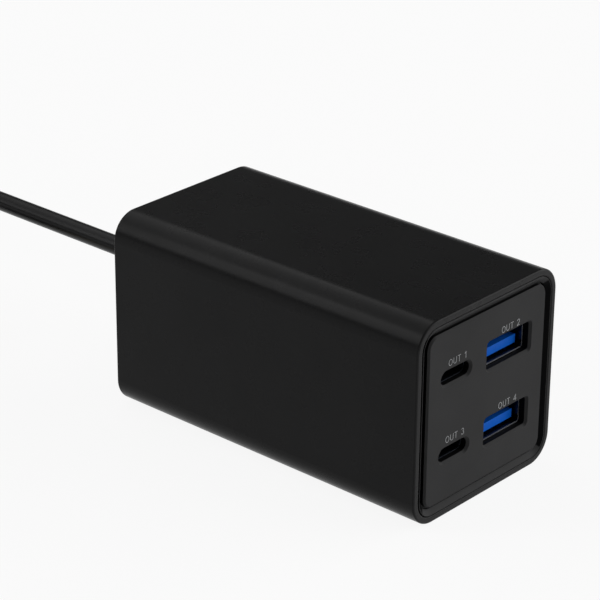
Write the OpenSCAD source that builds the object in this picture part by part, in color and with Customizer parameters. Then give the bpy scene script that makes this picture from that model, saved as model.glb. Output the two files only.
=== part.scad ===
// Desktop charger with four sockets and a mains lead.
// Millimetres. Z is up, the sockets face -Y, and the origin is under the middle of the housing.
// Shapes at either end are drawn in depth coordinates: the drawing plane is the end face,
// and the height of an extrusion is the depth into the housing.

/* [Housing] */
// Width of the housing, left to right
body_w = 43; // [41:0.5:56]
// Height of the housing
body_h = 43; // [41:0.5:56]
// Length of the housing, front face to rear face
body_l = 80.5; // [78:0.5:110]
// Radius of the four long edges
corner_r = 5.75; // [5:0.25:8]
// Wall of the housing between its end seats
wall = 2; // [1.8:0.1:2.2]
// Wall of the housing beside each end seat
nose_wall = 1.45; // [1.3:0.05:1.6]
// Depth of the seat for the frame at each end
seat_d = 5; // [4:0.5:6]
// Rounding of the outer end edges
edge_r = 0.4; // [0.3:0.1:0.8]
// Rounding of the inner end edges
lip_r = 0.35; // [0.1:0.05:0.4]

/* [End frames] */
// Width of the bevel round each end, seen from the front
bevel_w = 1.16; // [0.8:0.02:1.4]
// Depth that the bevel falls
bevel_d = 0.75; // [0.4:0.05:1]
// Length of the skirt inside the housing
skirt_l = 4; // [3:0.5:5]
// Thickness of the skirt
skirt_t = 1.4; // [1:0.1:1.6]
// Length of each snap tab
snap_l = 8; // [6:0.5:12]
// Height of each snap tab above the skirt
snap_h = 0.4; // [0.2:0.05:0.45]

/* [Socket panel] */
// Thickness of the panel
panel_t = 1.65; // [1.5:0.05:2]
// Width of the dark gap round the panel
panel_gap = 0.44; // [0.2:0.02:0.6]
// Chamfer of the panel's edge
panel_edge = 0.4; // [0.2:0.05:0.5]
// Thickness of the hidden flange that centres the panel
flange_t = 0.55; // [0.4:0.05:0.7]
// Lead-in chamfer of the socket holes
lead_in = 0.5; // [0.2:0.05:0.6]
// Height of the upper row above the middle, and of the lower row below it
row_dz = 8.25; // [6:0.25:9]
// Sideways place of the large sockets
wide_x = 6.8; // [6.6:0.1:7.6]
// Sideways place of the small sockets
slim_x = -9.6; // [-10:0.1:-8]

/* [Large socket] */
// Inside width of the metal shell
wide_w = 12.5; // [12.3:0.1:12.7]
// Inside height of the metal shell
wide_h = 5.12; // [5:0.02:5.3]
// Width of the tongue
wide_tongue_w = 11.1; // [10.8:0.1:11.3]
// Thickness of the tongue
wide_tongue_t = 1.84; // [1.6:0.02:1.9]
// Space under the tongue
wide_tongue_gap = 0.66; // [0.5:0.02:0.8]
// Distance from the shell's lip back to the tongue
wide_tongue_in = 1.05; // [0.8:0.05:2.5]

/* [Small socket] */
// Inside width of the metal shell
slim_w = 8.34; // [8.2:0.02:8.5]
// Inside height of the metal shell
slim_h = 2.56; // [2.4:0.02:2.7]
// Width of the tongue
slim_tongue_w = 6.69; // [6.4:0.01:6.8]
// Thickness of the tongue
slim_tongue_t = 0.7; // [0.6:0.05:0.8]
// Distance from the shell's lip back to the tongue
slim_tongue_in = 1.2; // [1:0.1:2]

/* [Socket shells] */
// Sheet thickness of the shells
shell_t = 0.3; // [0.25:0.05:0.35]
// Length of the shells, lip to circuit board
shell_l = 12.05; // [11.5:0.05:12.5]

/* [Circuit boards] */
// Thickness of both boards
board_t = 1.6; // [1.2:0.1:1.7]
// Height of the main board's underside above the base
board_z = 5.5; // [5:0.1:6.5]
// Free space between the two boards
board_gap = 1.8; // [1.6:0.1:2.5]

/* [Lead] */
// Diameter of the mains lead
cord_d = 4.2; // [4.2]
// Height of the lead above the base where it leaves
cord_z = 23.4; // [23.4]
// Length of the strain relief outside the rear cover
relief_l = 20; // [20:1:24]

/* [Hidden] */
$fn = 64;

// Colours
black = [0.07, 0.07, 0.075];
soft_black = [0.04, 0.04, 0.045];
panel_grey = [0.13, 0.13, 0.14];
tongue_blue = [0.03, 0.25, 0.85];
steel = [0.75, 0.76, 0.78];
gold = [0.86, 0.68, 0.3];
board_green = [0.05, 0.3, 0.16];
ferrite = [0.2, 0.2, 0.21];
copper = [0.72, 0.42, 0.2];
aluminium = [0.8, 0.81, 0.83];

// Clearances
fit = 0.1;
slide = 0.05;
bite = 0.2;

// Places along the depth, from the front face
inset_out = nose_wall + fit;
inset_bevel = inset_out + fit;
inset_well = inset_bevel + bevel_w;
inset_panel = inset_well + panel_gap;
inset_flange = inset_well + fit;
inset_skirt = wall + fit;
tip = 0.12;
floor_t = 1.5;
shell_d = panel_t + fit;
board_d = shell_d + shell_l;
post_r = 2;
post_inset = 6.4;
screw_r = 0.95;
screw_head_r = 1.8;
screw_head_t = 1.3;
screw_l = 7;
screw_spare = 0.5;
screw_slot = [2, 0.4, 1.2];
snap_room = 2;
snap_t = 1.5;
cover_lap = 0.8;
socket_board_inset = wall + 1.9;

// Rows of sockets, measured from the middle of the face
upper = row_dz;
lower = -row_dz;

// Large socket
wide_out_w = wide_w + 2 * shell_t;
wide_out_h = wide_h + 2 * shell_t;
wide_hole_w = wide_out_w + 3 * fit;
wide_hole_h = wide_out_h + 2 * fit;
wide_corner = 0.6;
wide_contact_w = 1;
wide_contact_t = 0.25;
wide_contact_in = 1.7;
wide_contact_x = [-3.5, -1, 1, 3.5];
wide_base_l = 3;
wide_window_w = 2.4;
wide_window_l = 6;
wide_window_x = 3.2;
wide_window_in = 2.6;
finger_w = 1.7;
finger_dip = 0.45;
finger_root = 0.4;
finger_bend = 1.2;
finger_tip = 0.3;

// Small socket
slim_out_w = slim_w + 2 * shell_t;
slim_out_h = slim_h + 2 * shell_t;
slim_hole_w = slim_w + 0.36;
slim_hole_h = slim_h + 0.24;
slim_base_l = 6;
slim_pitch = 0.5;
slim_pads = 12;
slim_pad_w = 0.26;
slim_pad_t = 0.1;
slim_pad_in = 0.6;

// Window in the bezel's ledge, round all four sockets
window_x = max(wide_x + wide_out_w / 2, slim_out_w / 2 - slim_x) + 5 * fit;
window_z = row_dz + wide_out_h / 2 + 8 * fit;
window_r = 1;

// Legs of the shells, in the socket board
leg_w = 1.8;
leg_reach = 0.9;
slim_leg_x = 2.6;

// Main board and what stands on it, measured along Y from the middle
main_inset = wall + 0.6;
main_front = -body_l / 2 + board_d + board_t + board_gap;
main_rear = body_l / 2 - seat_d - skirt_l - 0.4;
main_top = board_z + board_t;
rail_t = 1.2;
rail_w = 1.5;
rail_end = seat_d + skirt_l + 1;
leg_r = 0.4;
hole_r = leg_r + 0.1;
leg_out = 0.8;
out_leg = 1.25;
winding_leg_pitch = 3;
winding_leg = 7.05;
bulk_leg = 2.5;
choke_leg = [3.2, 3];
film_leg = 5;
fuse_leg = 2.6;

// Boards' link
link_w = 12;
link_l = 2.4;
link_h = 2.5;
link_pins_n = 5;
link_pitch = 2.2;
link_y = main_front + 0.2;
link_pin_z = main_top + link_h / 2;

// Output capacitors
out_r = 3.15;
out_h = 11;
out_pitch = 8;
out_y = main_front + 6;

// Transformer
core_w = 24;
core_h = 20;
core_t = 11;
core_leg = 3.5;
core_mid = 7;
core_back = 4;
core_y = out_y + out_r + 9;
core_z = main_top + 0.3;
window_h = core_h - 2 * core_back;
bobbin_t = 0.8;
bobbin_flange = 1;
bobbin_half = 8.3;
winding_half = 7.8;
rail_y = 5.8;

// Bulk capacitors
bulk_r = 6.25;
bulk_h = 25;
bulk_x = 7.5;
bulk_y = core_y + bobbin_half + bulk_r + 0.6;
bulk_edge = 0.4;
bulk_crimp = 1.8;
bulk_crimp_l = 1.6;

// Mains filter, next to the lead
choke_r = 6.2;
choke_hole = 3.4;
choke_t = 4;
choke_wire = 1;
choke_x = -9;
choke_y = bulk_y + bulk_r + choke_r + choke_wire + 0.4;
film_w = 6;
film_l = 13;
film_h = 12;
film_x = 10.5;
film_y = bulk_y + bulk_r + film_l / 2 + 0.4;
fuse_r = 1.75;
fuse_l = 8;
fuse_y = bulk_y + bulk_r + fuse_l / 2 + 0.4;
fuse_z = main_top + fuse_r + 0.6;

// Chips under the main board
bridge_size = [8, 6, 1.5];
bridge_place = [8, main_front + 36.8];
chip_size = [8, 8, 1];
chip_place = [-6, main_front + 19.8];

// Metal sheet and film over the components
spread_t = 1;
film_t = 0.4;
cover_y0 = main_front + 0.8;
cover_y1 = main_rear - 0.4;
cover_z = board_z + board_t + fit + rail_t;

// Lead inside the housing
core_wire_r = 0.9;
core_wire_x = 1.15;
wire_bend = 3;
wire_y = main_rear - 3;
rear_in = body_l / 2 - bevel_d;
cover_t = 2.2;

// Strain relief
relief_flange_r = 6.2;
relief_flange_t = 1.2;
relief_neck_r = 4.6;
relief_base_r = 4.7;
relief_tip_r = 2.95;
relief_rings = 6;
relief_edge = 0.4;
relief_first = 2.6;
relief_plain = 4;
relief_groove = 0.7;
relief_groove_d = 0.55;
cord_r = cord_d / 2;
cord_hole = cord_r + fit;

// Route of the lead from the strain relief to the coil, chosen by hand
lead_route = [[0, rear_in - 1.5, 23.4], [0, 60, 23.4], [0, 70, 23.4], [0, 80, 23.4],
              [0, 90, 23.4], [0, 100, 23.4], [0.22, 104, 23.16], [0.83, 108, 22.48],
              [1.79, 112, 21.43], [3.03, 116, 20.07], [4.5, 120, 18.46], [6.14, 124, 16.66],
              [7.89, 128, 14.74], [9.7, 132, 12.75], [11.51, 136, 10.76], [13.26, 140, 8.84],
              [14.9, 144, 7.04], [16.37, 148, 5.43], [17.61, 152, 4.07], [18.57, 156, 3.02],
              [19.18, 160, 2.34], [19.4, 164, 2.1], [19.4, 172, 2.1], [19.4, 183, 2.1]];
// Route of the lead from the coil to the plug, chosen by hand
tail_route = [[-26.8, 194, 14.7], [-26.8, 186, 14.7], [-26.8, 178, 14.7], [-26.8, 171, 14.7],
              [-26.8, 167.25, 14.37], [-26.8, 163.5, 13.5], [-26.8, 159.75, 12.26],
              [-26.8, 156, 10.85], [-26.8, 152.25, 9.44], [-26.8, 148.5, 8.2],
              [-26.8, 144.75, 7.33], [-26.8, 141, 7], [-26.8, 133, 7]];
tube_sides = 8;

// Coil of the stored length: three turns wide, three high, with half a turn on top
coil_x = -7.9;
coil_y = 193;
coil_turn = 18.9;
coil_in = coil_turn - cord_r;
coil_out = coil_in + 3 * cord_d;
coil_h = 3 * cord_d;
coil_edge = 1.2;
coil_top_start = 45;
coil_top_end = 180;

// Tie round the coil
tie_w = 8;
tie_t = 0.8;
tie_slack = 0.1;
tie_sag = 0.5;

// Plug on the floor beside the coil
plug_x = -26.8;
plug_z = 7;
plug_y = 102;
plug_l = 24;
plug_w = 22;
plug_tail_w = 15;
plug_relief_l = 15;
plug_relief_r = 4.8;
plug_relief_tip = 2.9;
blade_w = 6.35;
blade_t = 1.5;
blade_l = 16;
blade_in = 6;
blade_pitch = 12.7;
blade_hole_r = 1.55;
blade_hole_in = 3.2;
plug_shoulder = 9;
plug_corner = 4;
plug_end_edge = 2;

function rho(inset) = corner_r - inset;
function inner_h(inset) = body_h - 2 * inset;
function legs() = concat(
    [for (k = [-1:1], s = [-1, 1]) [k * out_pitch + s * out_leg, out_y]],
    [for (k = [-2:2], s = [-1, 1]) [k * winding_leg_pitch, core_y + s * winding_leg]],
    [for (s = [-1, 1], t = [-1, 1]) [s * bulk_x + t * bulk_leg, bulk_y]],
    [for (s = [-1, 1], t = [-1, 1]) [choke_x + s * choke_leg[0], choke_y + t * choke_leg[1]]],
    [for (t = [-1, 1]) [film_x, film_y + t * film_leg]],
    [for (t = [-1, 1]) [0, fuse_y + t * fuse_leg]]);

// Places and directions

module front_face() {
    translate([0, -body_l / 2, body_h / 2])
        mirror([0, 1, 0])
            rotate([90, 0, 0])
                children();
}

module rear_face() {
    translate([0, body_l / 2, body_h / 2])
        rotate([90, 0, 0])
            children();
}

module each_corner(dx, dz) {
    for (sx = [-1, 1], sz = [-1, 1])
        translate([sx * dx, sz * dz])
            children();
}

// Outlines

module round_rect(w, h, r) {
    square([w - 2 * r, h], center = true);
    if (h > 2 * r)
        square([w, h - 2 * r], center = true);
    for (sx = [-1, 1], sz = h > 2 * r ? [-1, 1] : [0])
        translate([sx * (w / 2 - r), sz * (h / 2 - r)])
            circle(r);
}

// Outline of the housing, drawn in by an inset with concentric corners
module outline(inset) {
    round_rect(body_w - 2 * inset, body_h - 2 * inset, rho(inset));
}

module slab(inset, d0, d1) {
    translate([0, 0, d0])
        linear_extrude(d1 - d0)
            outline(inset);
}

// A profile carried round the housing's outline. In the profile, the first coordinate
// is the distance from the corner's own axis and the second is the depth.
module around() {
    side_x = body_w / 2 - corner_r;
    side_z = body_h / 2 - corner_r;
    for (k = [0:3]) {
        cx = (k == 0 || k == 3 ? 1 : -1) * side_x;
        cz = (k < 2 ? 1 : -1) * side_z;
        translate([cx, cz, 0])
            rotate([0, 0, 90 * k])
                rotate_extrude(angle = 90)
                    children();
        run = k % 2 == 0 ? side_z : side_x;
        reach = k % 2 == 0 ? side_x : side_z;
        rotate([0, 0, 90 * k])
            translate([reach, run, 0])
                rotate([90, 0, 0])
                    linear_extrude(2 * run)
                        children();
    }
}

// A hole with a chamfered mouth at depth 0
module mouth(w, h, r, depth, chamfer) {
    translate([0, 0, -bite])
        linear_extrude(depth + 2 * bite)
            round_rect(w, h, r);
    rise = chamfer + bite;
    flat_w = w - 2 * r;
    flat_h = h - 2 * r;
    for (sx = [-1, 1], sz = flat_h > 0 ? [-1, 1] : [0])
        translate([sx * flat_w / 2, sz * flat_h / 2, -bite])
            cylinder(h = rise, r1 = r + rise, r2 = r);
    translate([-flat_w / 2, 0, 0])
        rotate([90, 0, 90])
            linear_extrude(flat_w)
                polygon([[-h / 2 - rise, -bite], [h / 2 + rise, -bite],
                         [h / 2, chamfer], [-h / 2, chamfer]]);
    if (flat_h > 0)
        translate([0, flat_h / 2, 0])
            rotate([90, 0, 0])
                linear_extrude(flat_h)
                    polygon([[-w / 2 - rise, -bite], [w / 2 + rise, -bite],
                             [w / 2, chamfer], [-w / 2, chamfer]]);
}

// Housing

// Quarter of a disc, on the side of the centre that faces out, or in when toward is -1
module quarter(r, toward) {
    intersection() {
        circle(r);
        translate([toward < 0 ? -r : 0, -r])
            square(r);
    }
}

// The housing's wall beside an end frame, with both end edges rounded
module nose_profile() {
    inner = rho(nose_wall);
    translate([inner + lip_r, 0])
        square([nose_wall - lip_r - edge_r, seat_d]);
    translate([inner, lip_r])
        square([lip_r, seat_d - lip_r]);
    translate([corner_r - edge_r, edge_r])
        square([edge_r, seat_d - edge_r]);
    translate([inner + lip_r, lip_r])
        quarter(lip_r, -1);
    translate([corner_r - edge_r, edge_r])
        quarter(edge_r, 1);
}

module sleeve_profile() {
    translate([rho(wall), seat_d])
        square([wall, body_l - 2 * seat_d]);
    nose_profile();
    translate([0, body_l])
        mirror([0, 1])
            nose_profile();
}

// Places of the four snap tabs at one end
module each_snap() {
    translate([0, body_h / 2, 0])
        children();
    translate([0, -body_h / 2, 0])
        rotate([0, 0, 180])
            children();
    translate([body_w / 2, 0, 0])
        rotate([0, 0, -90])
            children();
    translate([-body_w / 2, 0, 0])
        rotate([0, 0, 90])
            children();
}

snap_d = seat_d + skirt_l / 2;
module snap_pocket() {
    translate([-snap_l / 2 - fit, -wall - bite, snap_d - snap_room / 2])
        cube([snap_l + 2 * fit, snap_h + bite, snap_room]);
}

module rail(z) {
    for (side = [-1, 1])
        translate([side > 0 ? body_w / 2 - wall - rail_w : -body_w / 2 + wall - bite,
                   -body_l / 2 + rail_end, z])
            cube([rail_w + bite, body_l - 2 * rail_end, rail_t]);
}

module housing_sleeve() {
    color(black) {
        difference() {
            front_face()
                around()
                    sleeve_profile();
            front_face()
                each_snap()
                    snap_pocket();
            rear_face()
                each_snap()
                    snap_pocket();
        }
        rail(board_z - fit - rail_t);
        rail(board_z + board_t + fit);
    }
}

// End frames

// Half section of an end frame: bevel, inner wall from a given depth, seat and skirt
module frame_profile(floor_inset, floor_d) {
    well = rho(inset_well);
    out = rho(inset_out);
    inside = rho(inset_skirt + skirt_t);
    skirt_out = rho(inset_skirt);
    end = seat_d + skirt_l;
    polygon([[out - tip, 0], [rho(inset_bevel) - tip, 0], [well, bevel_d],
             [rho(floor_inset), floor_inset > inset_well ? bevel_d : floor_d],
             [rho(floor_inset), floor_d], [inside, floor_d], [inside, end],
             [skirt_out, end], [skirt_out, seat_d], [out, seat_d], [out, tip]]);
}

module snap_tabs() {
    each_snap()
        translate([-snap_l / 2, -inset_skirt - bite, snap_d - snap_t / 2])
            rotate([90, 0, 90])
                linear_extrude(snap_l)
                    polygon([[0, 0], [bite + snap_h, fit], [bite + snap_h, snap_t / 2], [0, snap_t]]);
}

module front_bezel() {
    post_x = body_w / 2 - post_inset;
    post_z = body_h / 2 - post_inset;
    color(black)
        front_face()
            difference() {
                union() {
                    around()
                        frame_profile(inset_well, panel_t);
                    slab(inset_skirt + skirt_t - bite, panel_t, panel_t + floor_t);
                    snap_tabs();
                    translate([0, 0, panel_t])
                        linear_extrude(board_d - panel_t)
                            each_corner(post_x, post_z)
                                circle(post_r);
                }
                translate([0, 0, panel_t - bite])
                    linear_extrude(floor_t + 2 * bite)
                        round_rect(2 * window_x, 2 * window_z, window_r);
                translate([0, 0, board_d - screw_l + board_t - screw_spare])
                    linear_extrude(screw_l)
                        each_corner(post_x, post_z)
                            circle(screw_r + slide);
            }
}

module socket_panel() {
    edge = rho(inset_panel);
    color(panel_grey)
        front_face()
            difference() {
                union() {
                    slab(inset_panel + panel_edge, 0, panel_edge);
                    around()
                        polygon([[edge - 2 * panel_edge, 0], [edge - panel_edge, 0],
                                 [edge, panel_edge], [edge - 2 * panel_edge, panel_edge]]);
                    slab(inset_panel, panel_edge, panel_t - flange_t);
                    slab(inset_flange, panel_t - flange_t, panel_t);
                }
                for (row = [lower, upper]) {
                    translate([wide_x, row, 0])
                        mouth(wide_hole_w, wide_hole_h, wide_corner, panel_t, lead_in);
                    translate([slim_x, row, 0])
                        mouth(slim_hole_w, slim_hole_h, slim_hole_h / 2, panel_t, lead_in);
                }
            }
}

module rear_cover() {
    color(black)
        rear_face()
            difference() {
                union() {
                    around()
                        frame_profile(inset_well + cover_lap, bevel_d + cover_t);
                    slab(inset_well + cover_lap - bite, bevel_d, bevel_d + cover_t);
                    snap_tabs();
                }
                translate([0, cord_z - body_h / 2, bevel_d - bite])
                    cylinder(h = cover_t + 2 * bite, r = relief_neck_r + fit);
            }
}

// Large sockets

module wide_fingers() {
    wall_z = wide_h / 2;
    for (side = [-1, 1], x = [-wide_window_x, wide_window_x])
        translate([x - finger_w / 2, 0, shell_d + wide_window_in])
            mirror([0, side < 0 ? 1 : 0, 0])
                rotate([90, 0, 90])
                    linear_extrude(finger_w)
                        polygon([[wall_z, wide_window_l + bite],
                                 [wall_z + shell_t, wide_window_l + bite],
                                 [wall_z + shell_t, wide_window_l - finger_root],
                                 [wall_z - finger_dip + shell_t, finger_bend],
                                 [wall_z + shell_t, finger_tip],
                                 [wall_z, finger_tip],
                                 [wall_z - finger_dip, finger_bend],
                                 [wall_z, wide_window_l - finger_root]]);
}

module wide_shell(row) {
    color(steel)
        front_face()
            translate([wide_x, row, 0]) {
                difference() {
                    translate([0, 0, shell_d])
                        linear_extrude(shell_l)
                            difference() {
                                round_rect(wide_out_w, wide_out_h, wide_corner);
                                round_rect(wide_w, wide_h, wide_corner - shell_t);
                            }
                    for (x = [-wide_window_x, wide_window_x])
                        translate([x - wide_window_w / 2, -body_h / 2, shell_d + wide_window_in])
                            cube([wide_window_w, body_h, wide_window_l]);
                }
                wide_fingers();
                for (side = [-1, 1])
                    translate([side * (wide_w + shell_t) / 2 - shell_t / 2,
                               -leg_w / 2, board_d - bite])
                        cube([shell_t, leg_w, bite + board_t + leg_reach]);
            }
}

wide_tongue_y = -wide_h / 2 + wide_tongue_gap;
wide_tongue_top = wide_tongue_y + wide_tongue_t;

module wide_contact_bars(grow, d0, d1) {
    for (x = wide_contact_x)
        translate([x - wide_contact_w / 2 - grow,
                   wide_tongue_top - wide_contact_t - grow, d0])
            cube([wide_contact_w + 2 * grow, wide_contact_t + 2 * grow, d1 - d0]);
}

module wide_tongue(row) {
    base_d = board_d - wide_base_l;
    tongue_d = shell_d + wide_tongue_in;
    color(tongue_blue)
        front_face()
            translate([wide_x, row, 0])
                difference() {
                    union() {
                        translate([0, 0, base_d])
                            linear_extrude(wide_base_l)
                                round_rect(wide_w - 2 * slide, wide_h - 2 * slide,
                                           wide_corner - shell_t - slide);
                        translate([-wide_tongue_w / 2, wide_tongue_y, tongue_d])
                            cube([wide_tongue_w, wide_tongue_t, base_d - tongue_d + bite]);
                    }
                    wide_contact_bars(slide, tongue_d + wide_contact_in - slide, board_d + bite);
                }
}

module wide_contacts(row) {
    color(gold)
        front_face()
            translate([wide_x, row, 0])
                wide_contact_bars(0, shell_d + wide_tongue_in + wide_contact_in,
                                  board_d + board_t + leg_out);
}

// Small sockets

module slim_shell(row) {
    color(steel)
        front_face()
            translate([slim_x, row, 0]) {
                translate([0, 0, shell_d])
                    linear_extrude(shell_l)
                        difference() {
                            round_rect(slim_out_w, slim_out_h, slim_out_h / 2);
                            round_rect(slim_w, slim_h, slim_h / 2);
                        }
                for (sx = [-1, 1], sz = [-1, 1])
                    translate([sx * slim_leg_x - leg_w / 2,
                               sz * (slim_h + shell_t) / 2 - shell_t / 2, board_d - bite])
                        cube([leg_w, shell_t, bite + board_t + leg_reach]);
            }
}

module slim_pads(grow, d0, d1) {
    for (k = [0:slim_pads - 1], side = [-1, 1])
        translate([(k - (slim_pads - 1) / 2) * slim_pitch - slim_pad_w / 2 - grow,
                   side * slim_tongue_t / 2 - (side > 0 ? slim_pad_t + grow : grow), d0])
            cube([slim_pad_w + 2 * grow, slim_pad_t + 2 * grow, d1 - d0]);
}

module slim_tongue(row) {
    base_d = board_d - slim_base_l;
    tongue_d = shell_d + slim_tongue_in;
    color(soft_black)
        front_face()
            translate([slim_x, row, 0])
                difference() {
                    union() {
                        translate([0, 0, base_d])
                            linear_extrude(slim_base_l)
                                round_rect(slim_w - 2 * slide, slim_h - 2 * slide,
                                           slim_h / 2 - slide);
                        translate([-slim_tongue_w / 2, -slim_tongue_t / 2, tongue_d])
                            cube([slim_tongue_w, slim_tongue_t, base_d - tongue_d + bite]);
                    }
                    slim_pads(slide, tongue_d + slim_pad_in - slide, board_d + bite);
                }
}

module slim_contacts(row) {
    color(gold)
        front_face()
            translate([slim_x, row, 0])
                slim_pads(0, shell_d + slim_tongue_in + slim_pad_in, board_d);
}

// Circuit boards

module socket_board_holes() {
    each_corner(body_w / 2 - post_inset, body_h / 2 - post_inset)
        circle(screw_r + 2 * fit);
    for (row = [lower, upper]) {
        translate([wide_x, row]) {
            for (side = [-1, 1])
                translate([side * (wide_w + shell_t) / 2, 0])
                    square([shell_t + 2 * fit, leg_w + 2 * fit], center = true);
            for (x = wide_contact_x)
                translate([x, wide_tongue_top - wide_contact_t / 2])
                    square([wide_contact_w + 2 * fit, wide_contact_t + 2 * fit], center = true);
        }
        translate([slim_x, row])
            each_corner(slim_leg_x, (slim_h + shell_t) / 2)
                square([leg_w + 2 * fit, shell_t + 2 * fit], center = true);
    }
    for (k = [0:link_pins_n - 1])
        translate([(k - (link_pins_n - 1) / 2) * link_pitch, link_pin_z - body_h / 2])
            circle(hole_r);
}

module socket_board() {
    color(board_green)
        front_face()
            translate([0, 0, board_d])
                linear_extrude(board_t)
                    difference() {
                        square([body_w - 2 * socket_board_inset, inner_h(socket_board_inset)],
                               center = true);
                        socket_board_holes();
                    }
}

module board_screws() {
    color(steel)
        front_face()
            translate([0, 0, board_d + board_t])
                each_corner(body_w / 2 - post_inset, body_h / 2 - post_inset) {
                    difference() {
                        cylinder(h = screw_head_t, r = screw_head_r);
                        for (turn = [0, 90])
                            translate([0, 0, screw_head_t])
                                rotate([0, 0, turn])
                                    cube(screw_slot, center = true);
                    }
                    translate([0, 0, -screw_l])
                        cylinder(h = screw_l + bite, r = screw_r);
                }
}

module main_board() {
    w = body_w - 2 * main_inset;
    color(board_green)
        translate([0, 0, board_z])
            linear_extrude(board_t)
                difference() {
                    translate([-w / 2, main_front])
                        square([w, main_rear - main_front]);
                    for (p = legs())
                        translate(p)
                            circle(hole_r);
                    for (side = [-1, 1])
                        translate([side * core_wire_x, wire_y])
                            circle(core_wire_r + fit);
                }
}

module component_legs() {
    color(steel)
        for (p = legs())
            translate([p[0], p[1], board_z - leg_out])
                cylinder(h = board_t + leg_out, r = leg_r);
}

module board_link() {
    color(soft_black)
        difference() {
            translate([-link_w / 2, link_y, main_top])
                cube([link_w, link_l, link_h]);
            for (k = [0:link_pins_n - 1])
                translate([(k - (link_pins_n - 1) / 2) * link_pitch, link_y - bite, link_pin_z])
                    rotate([-90, 0, 0])
                        cylinder(h = link_l / 2 + bite, r = leg_r + slide);
        }
}

module link_pins() {
    start = -body_l / 2 + board_d - leg_out;
    color(gold)
        for (k = [0:link_pins_n - 1])
            translate([(k - (link_pins_n - 1) / 2) * link_pitch, start, link_pin_z])
                rotate([-90, 0, 0])
                    cylinder(h = link_y + link_l / 2 - slide - start, r = leg_r);
}

// Transformer

module core_half() {
    translate([0, core_t / 2, 0])
        rotate([90, 0, 0])
            linear_extrude(core_t)
                difference() {
                    translate([-core_w / 2, 0])
                        square([core_w, core_h / 2]);
                    for (side = [-1, 1])
                        translate([side * (core_mid + core_w - 2 * core_leg) / 4, core_h / 2])
                            square([(core_w - 2 * core_leg - core_mid) / 2, window_h],
                                   center = true);
                }
}

module transformer_core() {
    color(ferrite)
        translate([0, core_y, core_z]) {
            core_half();
            translate([0, 0, core_h])
                mirror([0, 0, 1])
                    core_half();
        }
}

module transformer_bobbin() {
    hole_w = core_mid + 2 * fit;
    hole_l = core_t + 2 * fit;
    low = core_z + core_back + fit;
    high = core_z + core_h - core_back - fit;
    color(soft_black)
        translate([0, core_y, 0])
            difference() {
                union() {
                    translate([0, 0, low])
                        linear_extrude(high - low)
                            square([hole_w + 2 * bobbin_t, hole_l + 2 * bobbin_t], center = true);
                    for (z = [low, high - bobbin_flange])
                        translate([-bobbin_half, -bobbin_half, z])
                            cube([2 * bobbin_half, 2 * bobbin_half, bobbin_flange]);
                    for (side = [-1, 1])
                        translate([-bobbin_half,
                                   side > 0 ? rail_y : -bobbin_half, main_top])
                            cube([2 * bobbin_half, bobbin_half - rail_y, low - main_top + bite]);
                }
                translate([-hole_w / 2, -hole_l / 2, low - bite])
                    cube([hole_w, hole_l, high - low + 2 * bite]);
            }
}

module transformer_winding() {
    low = core_z + core_back + fit + bobbin_flange + slide;
    high = core_z + core_h - core_back - fit - bobbin_flange - slide;
    inner_w = core_mid + 2 * fit + 2 * bobbin_t + 2 * slide;
    inner_l = core_t + 2 * fit + 2 * bobbin_t + 2 * slide;
    color(copper)
        translate([0, core_y, low])
            linear_extrude(high - low)
                difference() {
                    round_rect(2 * winding_half, 2 * winding_half, 2);
                    square([inner_w, inner_l], center = true);
                }
}

// Other components

module bulk_capacitors() {
    color([0.12, 0.16, 0.3])
        for (side = [-1, 1])
            translate([side * bulk_x, bulk_y, main_top])
                rotate_extrude()
                    polygon([[0, 0], [bulk_r - bulk_edge, 0], [bulk_r, bulk_edge],
                             [bulk_r, bulk_crimp], [bulk_r - bulk_edge, bulk_crimp + bulk_edge],
                             [bulk_r - bulk_edge, bulk_crimp + bulk_crimp_l - bulk_edge],
                             [bulk_r, bulk_crimp + bulk_crimp_l],
                             [bulk_r, bulk_h - 2 * bulk_edge],
                             [bulk_r - 2 * bulk_edge, bulk_h], [0, bulk_h]]);
}

module output_capacitors() {
    color([0.75, 0.75, 0.78])
        for (k = [-1:1])
            translate([k * out_pitch, out_y, main_top])
                rotate_extrude()
                    polygon([[0, 0], [out_r, 0], [out_r, out_h - 0.5], [out_r - 0.5, out_h],
                             [0, out_h]]);
}

module film_capacitor() {
    color([0.85, 0.7, 0.1])
        translate([film_x - film_w / 2, film_y - film_l / 2, main_top])
            cube([film_w, film_l, film_h]);
}

choke_z = main_top + choke_r + choke_wire;

module choke_core() {
    color(ferrite)
        translate([choke_x, choke_y, choke_z])
            rotate([0, 90, 0])
                difference() {
                    cylinder(h = choke_t, r = choke_r, center = true);
                    cylinder(h = choke_t + 2 * bite, r = choke_hole, center = true);
                }
}

// Two wound stretches, left and right of the core
module choke_windings() {
    color(copper)
        translate([choke_x, choke_y, choke_z])
            rotate([0, 90, 0])
                for (start = [-60, 120])
                    rotate([0, 0, start])
                        rotate_extrude(angle = 120)
                            difference() {
                                translate([choke_hole - choke_wire, -choke_t / 2 - choke_wire])
                                    square([choke_r - choke_hole + 2 * choke_wire,
                                            choke_t + 2 * choke_wire]);
                                translate([choke_hole - slide, -choke_t / 2 - slide])
                                    square([choke_r - choke_hole + 2 * slide,
                                            choke_t + 2 * slide]);
                            }
}

module fuse() {
    color([0.4, 0.25, 0.15]) {
        translate([0, fuse_y + fuse_l / 2, fuse_z])
            rotate([90, 0, 0])
                cylinder(h = fuse_l, r = fuse_r);
        for (t = [-1, 1])
            translate([0, fuse_y + t * fuse_leg, main_top])
                cylinder(h = fuse_z - main_top, r = leg_r);
    }
}

module bridge_rectifier() {
    color(soft_black)
        translate([bridge_place[0] - bridge_size[0] / 2, bridge_place[1] - bridge_size[1] / 2,
                   board_z - bridge_size[2]])
            cube(bridge_size);
}

module power_transistor() {
    color(soft_black)
        translate([chip_place[0] - chip_size[0] / 2, chip_place[1] - chip_size[1] / 2,
                   board_z - chip_size[2]])
            cube(chip_size);
}

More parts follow.
